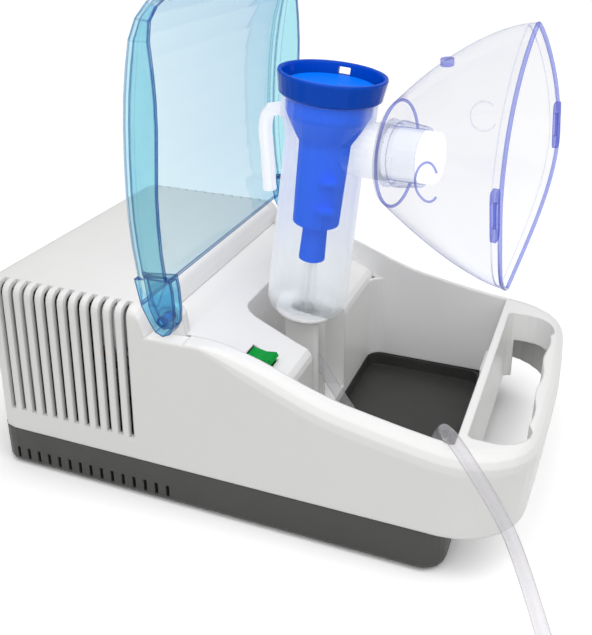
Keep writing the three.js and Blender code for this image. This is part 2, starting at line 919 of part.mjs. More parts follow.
// ---------------------------------------------------------------- air outlet and inner hose
add(
  "air_outlet",
  rod(5, [-50, -23.2, 38], [0, 1, 0], 11, 24)
    .add(rod(7.4, [-50, -23.2, 38], [0, 1, 0], 2.9, 24))
    .add(
      lathe(
        [
          [0, 0],
          [2.6, 0],
          [3.1, 3],
          [3.1, 11],
          [0, 11],
        ],
        [-50, -33.5, 38],
        [0, 1, 0],
        20,
      ),
    )
    .add(rod(2.4, [-50, -13, 38], [0, 1, 0], 9, 16))
    .subtract(rod(1.3, [-50, -40, 38], [0, 1, 0], 45, 12)),
  0xd9dad8,
  0.4,
  0,
);
add(
  "inner_air_hose",
  tube(
    [
      [-50, -3.6, 38],
      [-50, 8, 38.5],
      [-50, 26, 50],
      [-48, 42, 72],
      [-45, 54, 87],
      [CYL_X, 61.5, 91],
      [CYL_X, 69.4, 91],
    ],
    3.2,
    14,
    8,
    1.6,
  ),
  0xcfd3d6,
  0.35,
  0,
);

// ---------------------------------------------------------------- compressor
const AX = [MOTOR_Y, MOTOR_Z];
add(
  "stator_core",
  box(-14, 16, 60, 124, 22, 78)
    .subtract(box(-20, 20, 68, 75.5, 32, 68))
    .subtract(box(-20, 20, 108.5, 116, 32, 68))
    .subtract(rod(14.2, [-20, ...AX], [1, 0, 0], 40, 24)),
  0x6c6f72,
  0.45,
  0.9,
);
for (const [n, s] of [
  ["stator_coil_front", -1],
  ["stator_coil_rear", 1],
]) {
  const Y = (a, b) => (s < 0 ? [MOTOR_Y - b, MOTOR_Y - a] : [MOTOR_Y + a, MOTOR_Y + b]);
  const o = Y(17.2, 36.5),
    q = Y(23.6, 32.4);
  add(
    n,
    box(-19, 21, ...o, 33, 67).subtract(box(-14.5, 16.5, ...q, 20, 80)),
    COPPER,
    0.4,
    0.85,
  );
}
add("rotor_core", rod(13.4, [-13, ...AX], [1, 0, 0], 28, 24).subtract(rod(3.3, [-20, ...AX], [1, 0, 0], 45, 16)), 0x83878a, 0.4, 0.9);
add("rotor_shaft", rod(3, [-37.6, ...AX], [1, 0, 0], 84, 16), STEEL, 0.25, 1);
{
  let fan = ring(3.3, 8, [31, ...AX], [1, 0, 0], 12, 16);
  for (let k = 0; k < 7; k++) {
    const g = new THREE.BoxGeometry(1.6, 20, 11);
    g.translate(0, 16.5, 0);
    g.applyMatrix4(new THREE.Matrix4().makeRotationY(38 * D2R));
    g.applyMatrix4(
      new THREE.Matrix4().makeRotationX((k * 2 * Math.PI) / 7),
    );
    fan = fan.add(placed(g, T(37, ...AX)));
  }
  add("cooling_fan", fan, 0x2f5f9e, 0.5, 0);
}
for (const [n, x0, x1, a, b] of [
  ["bearing_bracket_front", -27, -24.2, -24.4, -14.4],
  ["bearing_bracket_rear", 26.2, 29, 16.4, 26.4],
])
  add(
    n,
    box(x0, x1, 76, 108, 34, 66)
      .add(box(x0, x1, 80, 104, 60, 77))
      .add(box(a, b, 82, 102, 70.4, 77))
      .subtract(rod(3.3, [x0 - 5, ...AX], [1, 0, 0], 12, 16)),
    ALU,
    0.4,
    0.9,
  );
add(
  "crank",
  rod(9, [-38.4, ...AX], [1, 0, 0], 8, 20)
    .subtract(rod(3.3, [-38, ...AX], [1, 0, 0], 12, 16))
    .add(rod(2.5, [-49, MOTOR_Y + THROW, MOTOR_Z], [1, 0, 0], 11, 16)),
  STEEL,
  0.35,
  0.9,
);
add(
  "piston_rod",
  ring(8.1, 11.4, [-48.2, ...AX], [1, 0, 0], 8.4, 20)
    .add(box(-46.5, -41.5, MOTOR_Y - 3, MOTOR_Y + 3, MOTOR_Z + 9.8, 72.5))
    .add(rod(9.5, [CYL_X, MOTOR_Y, 72], [0, 0, 1], 3, 20)),
  ALU,
  0.4,
  0.8,
);
add(
  "piston_seal",
  lathe(
    [
      [0, 0],
      [11.4, 0],
      [11.8, 3.4],
      [10.6, 3.4],
      [10.2, 1.4],
      [0, 1.4],
    ],
    [CYL_X, MOTOR_Y, 75.3],
    [0, 0, 1],
    20,
  ),
  0x2a2a2c,
  0.7,
  0,
);
add(
  "cylinder",
  ring(12.2, 15, [CYL_X, MOTOR_Y, 68], [0, 0, 1], 19, 24)
    .add(box(-30.4, -27.3, 80, 104, 60, 87))
    .add(box(-34, -28, 84, 100, 68, 87))
    .subtract(rod(12.2, [CYL_X, MOTOR_Y, 50], [0, 0, 1], 60, 24)),
  ALU,
  0.35,
  0.9,
);
{
  let head = rod(15, [CYL_X, MOTOR_Y, 87.3], [0, 0, 1], 7, 24);
  for (const k of [-9, -4.5, 0, 4.5, 9])
    head = head.add(box(CYL_X + k - 0.9, CYL_X + k + 0.9, MOTOR_Y - 11, MOTOR_Y + 11, 94, 100));
  head = head
    .add(rod(2.6, [CYL_X, MOTOR_Y - 22, 91], [0, 1, 0], 10, 16))
    .subtract(rod(1.2, [CYL_X, MOTOR_Y - 30, 91], [0, 1, 0], 24, 12));
  add("cylinder_head", head, ALU, 0.35, 0.9);
}
add(
  "motor_cradle",
  box(-26, 28, 64, 120, 13, 15)
    .add(box(-14, -6, 66, 118, 15, 21.7))
    .add(box(8, 16, 66, 118, 15, 21.7)),
  0x8e9296,
  0.45,
  0.9,
);
[
  [-21, 69],
  [23, 69],
  [-21, 115],
  [23, 115],
].forEach(([x, y], i) =>
  add(
    "motor_mount_" + (i + 1),
    lathe(
      [
        [0, 0],
        [5.5, 0],
        [5.5, 2.6],
        [4, 4.2],
        [5.5, 5.8],
        [5.5, 8.4],
        [0, 8.4],
      ],
      [x, y, 4.2],
      [0, 0, 1],
      10,
    ),
    RUBBER,
    0.9,
    0,
  ),
);

// ---------------------------------------------------------------- rear fittings
{
  let cap = lathe(
    [
      [0, 0],
      [11, 0],
      [11, 8],
      [13.6, 8],
      [13.6, 10.4],
      [12.4, 11.4],
      [0, 11.4],
    ],
    [52, 142.2, 74],
    [0, 1, 0],
    24,
  ).subtract(rod(8.6, [52, 140, 74], [0, 1, 0], 9, 20));
  for (const k of [-5, 0, 5]) cap = cap.subtract(box(52 - 5.4, 52 + 5.4, 148, 155, 74 + k - 0.8, 74 + k + 0.8));
  add("filter_cap", cap, 0xdadad6, 0.45, 0);
  add("air_filter", rod(8.2, [52, 141.6, 74], [0, 1, 0], 7, 20), 0xf2f0e6, 0.95, 0);
  add(
    "mains_inlet",
    box(-61.7, -38.3, 136, 149.6, 34.3, 49.7)
      .subtract(box(-60, -40, 139, 155, 36, 48))
      .add(rod(1.2, [-54, 138, 42], [0, 1, 0], 9, 10))
      .add(rod(1.2, [-46, 138, 42], [0, 1, 0], 9, 10)),
    BLACK,
    0.5,
    0,
  );
}

// ---------------------------------------------------------------- cup holder: a column with a forward slot for the tube
{
  const cx = CUP_BASE[0];
  let col = prismZ(rr(cx - 8, cx + 8, -15, 5, 2, 2), 20.3, 82).subtract(
    prismZ(rr(cx - 5.2, cx + 5.2, -22, 2.4, 2, 2), 23, 90),
  );
  const saddle = lathe(
    [
      [0, 0],
      [14, 0],
      [17, 2.4],
      [17, 3.6],
      [0, 3.6],
    ],
    [cx, CUP_BASE[1] - 0.3, 81.1],
    [0, -Math.sin(CUP_TILT * D2R), Math.cos(CUP_TILT * D2R)],
    24,
  ).subtract(box(cx - 6.4, cx + 6.4, -40, -0.4, 60, 90));
  col = col.add(saddle.subtract(prismZ(rr(cx - 5.2, cx + 5.2, -22, 2.4, 2, 2), 23, 90)));
  add("cup_holder", col, 0xefeeea, 0.4, 0);
}

// ---------------------------------------------------------------- nebulizer cup
const tilt = CUP_TILT * D2R;
const AXIS = [0, -Math.sin(tilt), Math.cos(tilt)];
const onCup = (w, x = 0, y = 0) => [
  CUP_BASE[0] + x,
  CUP_BASE[1] + AXIS[1] * w + y * Math.cos(tilt),
  CUP_BASE[2] + AXIS[2] * w + y * Math.sin(tilt),
];
const yaw = PORT_YAW * D2R,
  pit = PORT_PITCH * D2R;
const PORT = [
  Math.sin(yaw) * Math.cos(pit),
  -Math.cos(yaw) * Math.cos(pit),
  Math.sin(pit),
];
const PC = onCup(PORT_W);
const onPort = (d) => PC.map((c, i) => c + PORT[i] * d);
{
  const outer = [
    [0, CUP_FLOOR],
    [17.5, CUP_FLOOR],
    [20.6, CUP_FLOOR + 1.6],
    [22.0, CUP_FLOOR + 5.4],
    [22.3, CUP_FLOOR + 12],
    [21.2, 104],
    [21.9, 111],
    [24.9, 120],
    [24.9, 129.4],
    [0, 129.4],
  ];
  const inner = [
    [0, CUP_FLOOR + 1.8],
    [16.6, CUP_FLOOR + 1.8],
    [19.2, CUP_FLOOR + 3.2],
    [20.4, CUP_FLOOR + 6],
    [20.6, CUP_FLOOR + 12],
    [19.6, 104],
    [20.3, 111.6],
    [23.2, 120.4],
    [23.2, 134],
    [0, 134],
  ];
  const port = rod(14.4, onPort(8), PORT, 28.5, 24);
  let tank = lathe(outer, onCup(0), AXIS, 28).add(port);
  tank = tank
    .subtract(lathe(inner, onCup(0), AXIS, 24))
    .subtract(rod(12.6, onPort(2), PORT, 50, 24));
  // jet stem and its cone inside, inlet spigot below
  tank = tank
    .add(
      lathe(
        [
          [0, 0],
          [5, 0],
          [5, 10],
          [3.4, 26],
          [1.6, 36],
          [0, 36],
        ],
        onCup(CUP_FLOOR + 0.6),
        AXIS,
        14,
      ),
    )
    .add(rod(3.1, onCup(CUP_FLOOR - 7.5), AXIS, 9, 14))
    .subtract(rod(0.9, onCup(CUP_FLOOR - 12), AXIS, 60, 8));
  // hook on the rear side
  const hook = tube(
    [onCup(116, 0, 19.6), onCup(118, 0, 26), onCup(116, 0, 32.4), onCup(107, 0, 34.2), onCup(92, 0, 31.6), onCup(72, 0, 28.4)],
    3.7,
    14,
    9,
  );
  tank = tank.add(hook.subtract(lathe(inner, onCup(0), AXIS, 28)));
  add("neb_tank", tank, FROST, 0.35, 0, { transparent: true, opacity: 0.6 });
}
// soft connector on the inlet spigot
add(
  "tube_cuff_cup",
  ring(3.4, 4.4, onCup(CUP_FLOOR - 12.5), AXIS, 12, 16),
  0xdcdde6,
  0.3,
  0,
  { transparent: true, opacity: 0.6 },
);
// blue cap: open-topped ring with a recessed floor
{
  const capRing = lathe(
    [
      [13.2, 129.8],
      [25.6, 129.8],
      [26.8, 130.8],
      [28.4, 141.0],
      [28.0, 141.8],
      [26.4, 141.8],
      [25.8, 140.8],
      [24.8, 134.4],
      [13.2, 133.6],
      [13.2, 129.8],
    ],
    onCup(0),
    AXIS,
    40,
  ).subtract(
    placed(
      new THREE.BoxGeometry(8, 4.0, 6.6),
      frameY(onCup(137.6, 26.8, 2.0), AXIS, [1, 0, 0]),
    ),
  );
  add("neb_cap", capRing, BLUE, 0.18, 0);
  add(
    "cap_valve_disc",
    lathe(
      [
        [0, 134.2],
        [20, 134.8],
        [23, 135.2],
        [23, 135.9],
        [6, 135.5],
        [0, 137.2],
      ],
      onCup(0),
      AXIS,
      28,
    ),
    0x0a3fae,
    0.4,
    0,
  );
}
// chimney that hangs from the cap inside the tank, with baffle wings
{
  let ch = lathe(
    [
      [12.7, 133.2],
      [12.7, 129.2],
      [22.6, 129.0],
      [22.4, 121.6],
      [18.8, 114],
      [13.6, 105],
      [12.6, 60],
      [11.2, 60],
      [11.8, 104],
      [11.8, 133.2],
      [12.7, 133.2],
    ],
    onCup(0),
    AXIS,
    24,
  );
  for (const [w, a] of [
    [88, 215],
    [72, 215],
    [66, 30],
  ]) {
    const g = new THREE.BoxGeometry(7, 2.2, 9);
    g.translate(14.6, 0, 0);
    g.applyMatrix4(new THREE.Matrix4().makeRotationY(a * D2R));
    ch = ch.add(placed(g, frameY(onCup(w), AXIS)));
  }
  add("neb_chimney", ch, BLUE, 0.25, 0);
  add(
    "neb_jet_cap",
    lathe(
      [
        [5.6, 38],
        [7.2, 38],
        [6.6, 58],
        [10.2, 60],
        [10.2, 63.5],
        [0, 63.5],
        [0, 60],
        [3.6, 58],
        [5.6, 38],
      ],
      onCup(0),
      AXIS,
      20,
    ),
    BLUE,
    0.22,
    0,
  );
}
// adapter between the port and the mask
add(
  "mask_adapter",
  lathe(
    [
      [10.9, 30],
      [12.3, 30],
      [12.3, 40],
      [13.3, 43],
      [12.9, 62],
      [11.6, 62],
      [11.8, 43],
      [10.9, 40],
      [10.9, 30],
    ],
    PC,
    PORT,
    28,
  ),
  FROST,
  0.3,
  0,
  { transparent: true, opacity: 0.6 },
);

// ---------------------------------------------------------------- mask
const MASK_O = onPort(40);
const n3 = new THREE.Vector3(...PORT).normalize();
const l0 = new THREE.Vector3().crossVectors(new THREE.Vector3(0, 0, 1), n3).normalize();
if (l0.x < 0) l0.negate();
const u0 = new THREE.Vector3().crossVectors(n3, l0);
if (u0.z < 0) u0.negate();
const cr = Math.cos(MASK_ROLL * D2R),
  sr = Math.sin(MASK_ROLL * D2R);
const ML = l0.clone().multiplyScalar(cr).addScaledVector(u0, sr);
const MU = u0.clone().multiplyScalar(cr).addScaledVector(l0, -sr);
const onMask = (a, l, u) => {
  const p = new THREE.Vector3(...MASK_O)
    .addScaledVector(n3, a)
    .addScaledVector(ML, l)
    .addScaledVector(MU, u);
  return [p.x, p.y, p.z];
};
// Mask section k (0 at the collar, 1 at the rim), angle t from the nose (t = 0) round the near side.
function maskPoint(k, t, off = 0) {
  const c = Math.cos(t),
    s = Math.sin(t);
  const up = c > 0;
  // rim outline: narrow nose, wide cheeks, rounded chin
  const rimU = up ? 69.3 * Math.pow(c, 1.1) : -67.8 * Math.pow(-c, 1.0);
  const rimL =
    47 * Math.sign(s) * Math.pow(Math.abs(s), up ? 2.0 : 2.3) + (up ? 8 : 11) * s * c * c;
  const rimA = 63 + 6 * Math.max(0, c) ** 2 - 5.6 * Math.max(0, -c) ** 2 + 5 * Math.abs(s) ** 3;
  const R0 = 26.4;
  const a = lerp(0, rimA, k);
  const g = 1 - Math.pow(Math.max(0, 1 - k), 1.6);
  const U = lerp(R0 * c, rimU, g);
  const L = lerp(R0 * s, rimL, g);
  const m = Math.hypot(U, L) || 1;
  return onMask(a, L * (1 - off / m), U * (1 - off / m));
}
{
  const NT = 32;
  const ks = [0, 0.07, 0.17, 0.3, 0.48, 0.7, 1];
  const rings = [];
  const ringAt = (k, off) =>
    Array.from({ length: NT }, (_, i) => maskPoint(k, (i / NT) * 2 * Math.PI, off));
  // outer skin out to the rim, then back along the inside
  const collar = (r, a) =>
    Array.from({ length: NT }, (_, i) => {
      const t = (i / NT) * 2 * Math.PI;
      return onMask(a, r * Math.sin(t), r * Math.cos(t));
    });
  rings.push(collar(15.6, -1.2));
  rings.push(collar(24.6, -1.2));
  for (const k of ks) rings.push(ringAt(k, 0));
  rings.push(ringAt(1.02, -1.8));
  rings.push(ringAt(1.03, 1.2));
  for (const k of ks.slice(1).reverse()) rings.push(ringAt(k, 1.5));
  rings.push(collar(24.2, 1.4));
  rings.push(collar(15.6, 1.4));
  // the band closes on itself: a ring of cross-sections
  const v = rings.flat(2),
    idx = [],
    M = rings.length;
  for (let k = 0; k < M; k++)
    for (let i = 0; i < NT; i++) {
      const a = k * NT + i,
        b = k * NT + ((i + 1) % NT),
        c = ((k + 1) % M) * NT + i,
        d = ((k + 1) % M) * NT + ((i + 1) % NT);
      idx.push(a, b, d, a, d, c);
    }
  const g = new THREE.BufferGeometry();
  g.setAttribute("position", new THREE.BufferAttribute(new Float32Array(v), 3));
  g.setIndex(idx);
  let s = solid(g);
  if (s.volume() < 0) {
    for (let i = 0; i < idx.length; i += 3)
      [idx[i + 1], idx[i + 2]] = [idx[i + 2], idx[i + 1]];
    g.setIndex(idx);
    s = solid(g);
  }
  // strap lugs on both cheeks
  for (const sg of [-1, 1]) {
    const lug = placed(
      new THREE.BoxGeometry(6.4, 24, 2.4),
      new THREE.Matrix4()
        .makeBasis(ML, MU, new THREE.Vector3().crossVectors(ML, MU))
        .setPosition(...onMask(66.4, sg * 48.6, 2.1)),
    ).subtract(
      placed(
        new THREE.BoxGeometry(3.0, 12, 6),
        new THREE.Matrix4()
          .makeBasis(ML, MU, new THREE.Vector3().crossVectors(ML, MU))
          .setPosition(...onMask(66.4, sg * 49.2, 2.1)),
      ),
    );
    s = s.add(lug);
  }
  s = s.add(rod(3.3, maskPoint(0.4, 0.12, 0.8), [MU.x - n3.x * 0.55, MU.y - n3.y * 0.55, MU.z - n3.z * 0.55], 6.4, 12));
  add("mask_shell", s, CLEAR, 0.08, 0, { transparent: true, opacity: 0.3 });
  add(
    "mask_inlet_cuff",
    lathe(
      [
        [13.7, 36.9],
        [17.2, 36.9],
        [17.2, 38.4],
        [15.2, 38.5],
        [15.2, 41.8],
        [16.8, 42.0],
        [16.8, 44.4],
        [15.0, 56],
        [13.7, 56],
        [13.7, 36.9],
      ],
      PC,
      PORT,
      28,
    ),
    0xb9c4ea,
    0.12,
    0,
    { transparent: true, opacity: 0.5 },
  );
}

// ---------------------------------------------------------------- air tube: from the cup, through the bay, over the rim notch, down to the table
{
  const s = onCup(CUP_FLOOR - 13.2);
  add(
    "air_tube",
    tube(
      [
        s,
        [s[0], s[1] - 0.2, s[2] - 9],
        [s[0], -8.2, 57],
        [s[0] - 0.6, -14.6, 49.2],
        [s[0] - 2.4, -23.2, 38.2],
        [-9.5, -31.6, 28.6],
        [-16, -42.5, 21.5],
        [-27, -56, 18.6],
        [-42, -76, 24],
        [-58, -91, 46],
        [-70, -98.5, 66],
        [-79.5, -102.4, 73.4],
        [-87.0, -110.2, 71.2],
        [-95.4, -123.0, 60.6],
        [-104, -134.4, 50.5],
        [-116, -142.6, 44],
        [-130, -150.2, 38],
        [-142.5, -157, 31.5],
        [-153, -164, 22],
        [-160, -172, 11],
        [-162, -184, 5.4],
        [-157, -200, 3.6],
        [-142, -216, 3.5],
        [-118, -226, 3.6],
        [-92, -229, 5.0],
        [-80, -229, 5.3],
        [-70, -229, 5.3],
      ],
      3.3,
      50,
      8,
      1.9,
    ),
    0xe2e0ea,
    0.25,
    0,
    { transparent: true, opacity: 0.6 },
  );
  add(
    "tube_cuff_free",
    lathe(
      [
        [3.7, 0],
        [5.1, 0],
        [5.1, 16],
        [4.5, 20],
        [2.6, 20],
        [2.6, 11],
        [3.7, 9],
        [3.7, 0],
      ],
      [-77.4, -229, 5.3],
      [1, 0, 0],
      16,
    ),
    0xdcdde6,
    0.3,
    0,
    { transparent: true, opacity: 0.6 },
  );
}

// ---------------------------------------------------------------- origin
{
  const bounds = new THREE.Box3().setFromObject(root, true);
  const middle = bounds.getCenter(new THREE.Vector3());
  for (const mesh of root.children)
    mesh.geometry.translate(-middle.x, -middle.y, -bounds.min.z);
}

export default root;
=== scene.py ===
import math
import bpy
from mathutils import Vector, Matrix


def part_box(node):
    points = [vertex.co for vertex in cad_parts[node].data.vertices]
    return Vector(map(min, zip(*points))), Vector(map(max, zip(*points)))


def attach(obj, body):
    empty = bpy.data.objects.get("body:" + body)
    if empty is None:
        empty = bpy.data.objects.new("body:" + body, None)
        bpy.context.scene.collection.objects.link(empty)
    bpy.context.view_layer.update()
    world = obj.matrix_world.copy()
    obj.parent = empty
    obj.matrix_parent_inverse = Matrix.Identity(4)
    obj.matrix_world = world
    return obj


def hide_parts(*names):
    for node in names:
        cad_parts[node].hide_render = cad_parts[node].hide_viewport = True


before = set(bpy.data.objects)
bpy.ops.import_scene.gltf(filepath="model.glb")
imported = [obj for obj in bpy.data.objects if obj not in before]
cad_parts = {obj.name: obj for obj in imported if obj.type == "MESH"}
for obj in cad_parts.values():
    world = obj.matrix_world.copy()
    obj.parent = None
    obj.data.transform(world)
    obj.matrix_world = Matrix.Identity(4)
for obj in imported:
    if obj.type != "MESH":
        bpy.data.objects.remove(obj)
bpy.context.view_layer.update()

# ------------------------------------------------------------------ frame
# Lengths below are in millimetres from the middle of the housing's footprint; S moves them to the row frame.
_lo, _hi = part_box("foot_front_near")
S = Vector(((_lo[0] + _hi[0]) / 2 + 0.072, (_lo[1] + _hi[1]) / 2 + 0.084, 0.0))


def P(p):
    return Vector((p[0], p[1], p[2])) / 1000 + S


scene = bpy.context.scene


# ------------------------------------------------------------------ cup and mask frames (millimetres)
tilt = math.radians(6.5)
AX = Vector((0, -math.sin(tilt), math.cos(tilt)))
CUP = Vector((-5, -4.6, 78))
yaw, pit, roll = math.radians(-8.7), math.radians(1.1), math.radians(10.1)
PORT = Vector((math.sin(yaw) * math.cos(pit), -math.cos(yaw) * math.cos(pit), math.sin(pit)))
PC = CUP + AX * 103.7
MO = PC + PORT * 40
l0 = Vector((0, 0, 1)).cross(PORT).normalized()
if l0.x < 0:
    l0 = -l0
u0 = PORT.cross(l0)
if u0.z < 0:
    u0 = -u0
ML = l0 * math.cos(roll) + u0 * math.sin(roll)
MU = u0 * math.cos(roll) - l0 * math.sin(roll)


# ------------------------------------------------------------------ materials
def nodes_of(name):
    m = bpy.data.materials.new(name)
    m.use_nodes = True
    t = m.node_tree
    t.nodes.clear()
    return m, t, t.nodes, t.links


def noise(t, coord, scale, detail=4, rough=0.55):
    n = t.nodes.new("ShaderNodeTexNoise")
    n.inputs["Scale"].default_value = scale
    n.inputs["Detail"].default_value = detail
    n.inputs["Roughness"].default_value = rough
    t.links.new(coord, n.inputs["Vector"])
    return n.outputs["Fac"]


def rng(t, v, a, b, lo=0.3, hi=0.7):
    n = t.nodes.new("ShaderNodeMapRange")
    n.inputs["From Min"].default_value = lo
    n.inputs["From Max"].default_value = hi
    n.inputs["To Min"].default_value = a
    n.inputs["To Max"].default_value = b
    t.links.new(v, n.inputs["Value"])
    return n.outputs["Result"]


def mixc(t, f, a, b):
    n = t.nodes.new("ShaderNodeMix")
    n.data_type = "RGBA"
    if isinstance(f, float):
        n.inputs[0].default_value = f
    else:
        t.links.new(f, n.inputs[0])
    for sock, v in ((6, a), (7, b)):
        if isinstance(v, tuple):
            n.inputs[sock].default_value = (*v, 1)
        else:
            t.links.new(v, n.inputs[sock])
    return n.outputs[2]


def plastic(name, col, rough=0.4, metal=0.0, grain=0.08, grain_scale=900.0, vary=0.03, wear=0.25,
            trans=0.0, sss=0.0, coat=0.0, painted_glow=0.0, painted_glow_col=None, bevel=0.0, spec=0.5):
    m, t, n, l = nodes_of(name)
    out = n.new("ShaderNodeOutputMaterial")
    b = n.new("ShaderNodeBsdfPrincipled")
    l.new(b.outputs[0], out.inputs[0])
    co = n.new("ShaderNodeTexCoord").outputs["Object"]
    dark = tuple(max(0.0, c * (1 - vary)) for c in col)
    light = tuple(min(1.0, c * (1 + vary)) for c in col)
    base = mixc(t, rng(t, noise(t, co, 14.0), 0.0, 1.0), dark, light)
    geo = n.new("ShaderNodeNewGeometry")
    edge = rng(t, geo.outputs["Pointiness"], 0.0, wear, 0.52, 0.62)
    worn = tuple(min(1.0, c * 1.25 + 0.01) for c in col)
    base = mixc(t, edge, base, worn)
    l.new(base, b.inputs["Base Color"])
    l.new(rng(t, noise(t, co, 60.0, 5), rough * 0.85, min(1.0, rough * 1.18)), b.inputs["Roughness"])
    b.inputs["Metallic"].default_value = metal
    b.inputs["Transmission Weight"].default_value = trans
    b.inputs["Coat Weight"].default_value = coat
    b.inputs["Coat Roughness"].default_value = 0.12
    b.inputs["Specular IOR Level"].default_value = spec
    if sss:
        b.inputs["Subsurface Weight"].default_value = sss
        b.inputs["Subsurface Radius"].default_value = (0.004, 0.004, 0.005)
    # painted glow: an emission term makes the part give off light of its own, though it is no lamp
    if painted_glow:
        b.inputs["Emission Color"].default_value = (*(painted_glow_col or col), 1)
        b.inputs["Emission Strength"].default_value = painted_glow
    bump = n.new("ShaderNodeBump")
    bump.inputs["Strength"].default_value = grain
    bump.inputs["Distance"].default_value = 0.0002
    l.new(noise(t, co, grain_scale, 3), bump.inputs["Height"])
    if bevel:
        bv = n.new("ShaderNodeBevel")
        bv.samples = 4
        bv.inputs["Radius"].default_value = bevel
        l.new(bv.outputs[0], bump.inputs["Normal"])
    l.new(bump.outputs[0], b.inputs["Normal"])
    return m


def sheen(t, normal, gloss, facing):
    """Reflection strength: low head-on, high at grazing angles, and none from the inside of a wall."""
    n, l = t.nodes, t.links
    p5 = n.new("ShaderNodeMath")
    p5.operation = "POWER"
    p5.inputs[1].default_value = 4.0
    l.new(facing, p5.inputs[0])
    ma = n.new("ShaderNodeMath")
    ma.operation = "MULTIPLY_ADD"
    ma.inputs[1].default_value = 0.8 * gloss
    ma.inputs[2].default_value = 0.045 * gloss
    l.new(p5.outputs[0], ma.inputs[0])
    geo = n.new("ShaderNodeNewGeometry")
    inv = n.new("ShaderNodeMath")
    inv.operation = "SUBTRACT"
    inv.inputs[0].default_value = 1.0
    l.new(geo.outputs["Backfacing"], inv.inputs[1])
    mu = n.new("ShaderNodeMath")
    mu.operation = "MULTIPLY"
    l.new(ma.outputs[0], mu.inputs[0])
    l.new(inv.outputs[0], mu.inputs[1])
    return mu.outputs[0]


def bypass(t, shader, col):
    """Shadow and bounce rays go through thin clear plastic almost undimmed; camera and mirror rays see the full shader."""
    n, l = t.nodes, t.links
    lp = n.new("ShaderNodeLightPath")
    mx = n.new("ShaderNodeMath")
    mx.operation = "MAXIMUM"
    l.new(lp.outputs["Is Shadow Ray"], mx.inputs[0])
    l.new(lp.outputs["Is Diffuse Ray"], mx.inputs[1])
    tr = n.new("ShaderNodeBsdfTransparent")
    tr.inputs["Color"].default_value = (*col, 1)
    m = n.new("ShaderNodeMixShader")
    l.new(mx.outputs[0], m.inputs[0])
    l.new(shader, m.inputs[1])
    l.new(tr.outputs[0], m.inputs[2])
    return m.outputs[0]


def edge_mask(t, radius):
    """1 along a moulding's sharp edges, 0 on its faces."""
    n, l = t.nodes, t.links
    bv = n.new("ShaderNodeBevel")
    bv.samples = 6
    bv.inputs["Radius"].default_value = radius
    geo = n.new("ShaderNodeNewGeometry")
    dot = n.new("ShaderNodeVectorMath")
    dot.operation = "DOT_PRODUCT"
    l.new(bv.outputs[0], dot.inputs[0])
    l.new(geo.outputs["Normal"], dot.inputs[1])
    r = n.new("ShaderNodeMapRange")
    r.inputs["From Min"].default_value = 0.995
    r.inputs["From Max"].default_value = 0.965
    r.inputs["To Min"].default_value = 0.0
    r.inputs["To Max"].default_value = 1.0
    l.new(dot.outputs["Value"], r.inputs["Value"])
    return r.outputs["Result"]


def clear(name, face, edge, haze=0.06, rough=0.06, gloss=1.0, haze_col=(0.9, 0.92, 0.95), power=0.55, bump_s=0.05,
          line=0.0, line_col=(0.0, 0.05, 0.3), falloff=2.2, dim=(0.99, 0.99, 0.99)):
    """Clear moulded plastic: tinted pass-through, deeper at grazing angles, with a surface reflection and a little haze."""
    m, t, n, l = nodes_of(name)
    out = n.new("ShaderNodeOutputMaterial")
    co = n.new("ShaderNodeTexCoord").outputs["Object"]
    lw = n.new("ShaderNodeLayerWeight")
    lw.inputs["Blend"].default_value = power
    f = rng(t, lw.outputs["Facing"], 0.0, 1.0, 0.25, 0.98)
    sq = n.new("ShaderNodeMath")
    sq.operation = "POWER"
    sq.inputs[1].default_value = falloff
    l.new(f, sq.inputs[0])
    tint = mixc(t, sq.outputs[0], face, edge)
    if line:
        em = edge_mask(t, line)
        tint = mixc(t, em, tint, line_col)
    tr = n.new("ShaderNodeBsdfTransparent")
    l.new(tint, tr.inputs["Color"])
    dif = n.new("ShaderNodeBsdfDiffuse")
    tl = n.new("ShaderNodeBsdfTranslucent")
    hc = mixc(t, sq.outputs[0], haze_col, edge)
    hc = mixc(t, rng(t, noise(t, co, 20.0), 0.0, 0.15), hc, (1.0, 1.0, 1.0))
    if line:
        hc = mixc(t, em, hc, line_col)
    l.new(hc, dif.inputs["Color"])
    l.new(hc, tl.inputs["Color"])
    h = n.new("ShaderNodeMixShader")
    h.inputs[0].default_value = 0.5
    l.new(dif.outputs[0], h.inputs[1])
    l.new(tl.outputs[0], h.inputs[2])
    m1 = n.new("ShaderNodeMixShader")
    hz = n.new("ShaderNodeMath")
    hz.operation = "MULTIPLY_ADD"
    hz.inputs[1].default_value = haze * 1.6
    hz.inputs[2].default_value = haze
    l.new(sq.outputs[0], hz.inputs[0])
    amount = hz.outputs[0]
    if line:
        solid = n.new("ShaderNodeMath")
        solid.operation = "MULTIPLY_ADD"
        solid.inputs[1].default_value = 0.45
        l.new(em, solid.inputs[0])
        l.new(amount, solid.inputs[2])
        amount = solid.outputs[0]
    l.new(amount, m1.inputs[0])
    l.new(tr.outputs[0], m1.inputs[1])
    l.new(h.outputs[0], m1.inputs[2])
    gl = n.new("ShaderNodeBsdfGlossy")
    l.new(rng(t, noise(t, co, 80.0), rough * 0.8, rough * 1.3), gl.inputs["Roughness"])
    bump = n.new("ShaderNodeBump")
    bump.inputs["Strength"].default_value = bump_s
    bump.inputs["Distance"].default_value = 0.0005
    l.new(noise(t, co, 30.0, 3), bump.inputs["Height"])
    l.new(bump.outputs[0], gl.inputs["Normal"])
    lw2 = n.new("ShaderNodeLayerWeight")
    lw2.inputs["Blend"].default_value = 0.5
    m2 = n.new("ShaderNodeMixShader")
    l.new(sheen(t, None, gloss, lw2.outputs["Facing"]), m2.inputs[0])
    l.new(m1.outputs[0], m2.inputs[1])
    l.new(gl.outputs[0], m2.inputs[2])
    l.new(bypass(t, m2.outputs[0], dim), out.inputs[0])
    return m


